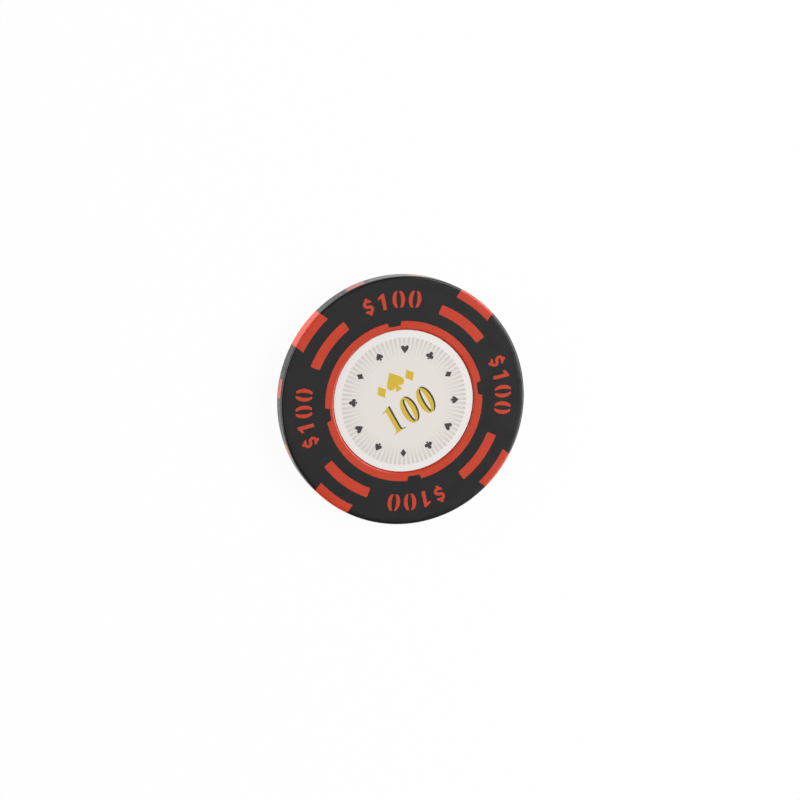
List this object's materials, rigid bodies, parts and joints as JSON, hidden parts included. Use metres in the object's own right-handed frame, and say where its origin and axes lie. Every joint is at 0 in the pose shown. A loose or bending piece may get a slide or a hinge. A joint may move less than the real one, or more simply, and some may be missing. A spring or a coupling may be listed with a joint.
{
  "type": "poker chip",
  "caption": "Round two-colour moulded gaming chip with a steel weight inside, moulded value figures, edge spots and a recessed printed label on each face.",
  "frame": {"origin": "centre of the back face, on the surface that the chip lies on", "axes": "+Z out of the front face along the chip's axis, +Y through the middle of one group of figures"},
  "size_m": [0.04, 0.04, 0.0034],
  "materials": {
    "steel": "stamped and tumbled low-carbon steel",
    "red_abs": "red mineral-filled ABS, moulded satin",
    "black_abs": "black mineral-filled ABS, moulded satin",
    "adhesive": "clear acrylic pressure-sensitive adhesive",
    "label_stock": "off-white coated label stock, printed",
    "clear_film": "clear gloss overlaminate film"
  },
  "bodies": {
    "root": {"steel_weight": "steel", "red_core": "red_abs", "black_body": "black_abs", "front_adhesive": "adhesive", "front_label": "label_stock", "front_film": "clear_film", "back_adhesive": "adhesive", "back_label": "label_stock", "back_film": "clear_film"}
  },
  "joints": []
}
